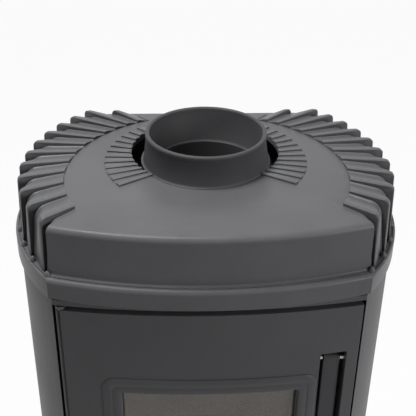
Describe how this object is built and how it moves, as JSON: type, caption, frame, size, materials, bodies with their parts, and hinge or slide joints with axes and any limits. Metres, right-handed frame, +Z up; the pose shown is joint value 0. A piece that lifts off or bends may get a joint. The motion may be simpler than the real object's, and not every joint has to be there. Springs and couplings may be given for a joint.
{
  "type": "wood stove",
  "caption": "Free-standing cast-iron wood stove with D-shaped plan, fanned fins on its cover, flue collar, glazed door, ash drawer and air control.",
  "frame": {"origin": "on the floor, under the middle of the stove's bounding box", "axes": "+Z up, the glazed front faces -Y, +X to the right as seen from the front"},
  "size_m": [0.51, 0.367, 0.922],
  "materials": {
    "cover_iron": "matt charcoal stove paint on sand-cast iron",
    "body_iron": "matt charcoal stove paint on sand-cast iron",
    "collar_iron": "matt charcoal stove paint on turned cast iron",
    "sheet_steel": "black heat-resistant paint on folded sheet steel",
    "bare_steel": "bare machined steel",
    "black_bolt": "black oxide steel fasteners",
    "rope": "knitted glass-fibre rope, graphite grey",
    "gasket": "flat glass-fibre tape",
    "glass": "curved heat-resistant ceramic glass, faintly tinted",
    "brick": "vermiculite fire board",
    "raw_iron": "raw cast iron, heat scaled"
  },
  "bodies": {
    "root": {"top_cover": "cover_iron", "flue_collar": "collar_iron", "collar_bolts": "black_bolt", "firebox_top": "sheet_steel", "right_side": "body_iron", "left_side": "body_iron", "base_plate": "body_iron", "plinth": "body_iron", "levelling_feet": "bare_steel", "tie_rods": "bare_steel", "back_plate": "body_iron", "heat_shield": "sheet_steel", "shield_spacers": "bare_steel", "shield_screws": "black_bolt", "air_spigot": "sheet_steel", "front_frame": "body_iron", "top_rail": "body_iron", "front_apron": "body_iron", "firebox_shell": "sheet_steel", "hearth_plate": "raw_iron", "fire_grate": "raw_iron", "brick_right": "brick", "brick_left": "brick", "brick_back": "brick", "baffle_board": "brick", "log_guard": "raw_iron", "hinge_upper": "black_bolt", "hinge_lower": "black_bolt", "hinge_pins": "bare_steel", "latch_keeper": "bare_steel", "runner_right": "sheet_steel", "runner_left": "sheet_steel", "air_slide_rails": "sheet_steel"},
    "door": {"door": "body_iron", "door_seal": "rope", "glass_gasket": "gasket", "door_glass": "glass", "glass_retainer": "sheet_steel", "glass_screws": "black_bolt", "lever_pin": "bare_steel"},
    "lever": {"door_lever": "collar_iron"},
    "ash_drawer": {"drawer_front": "body_iron", "ash_pan": "sheet_steel"},
    "air_control": {"air_slide": "sheet_steel", "air_knob": "bare_steel"}
  },
  "joints": [
    {"name": "door_hinge", "type": "hinge", "parent": "root", "child": "door", "pos_m": [-0.18292, -0.15181, 0.54], "axis": [0, 0, -1], "range_deg": [0, 105]},
    {"name": "lever_turn", "type": "hinge", "parent": "door", "child": "lever", "pos_m": [0.15692, -0.1475, 0.6825], "axis": [-1, 0, 0], "range_deg": [-6, 35]},
    {"name": "drawer_slide", "type": "slide", "parent": "root", "child": "ash_drawer", "axis": [0, -1, 0], "range_m": [0, 0.2]},
    {"name": "air_slide_travel", "type": "slide", "parent": "root", "child": "air_control", "axis": [1, 0, 0], "range_m": [-0.03, 0.03]}
  ]
}
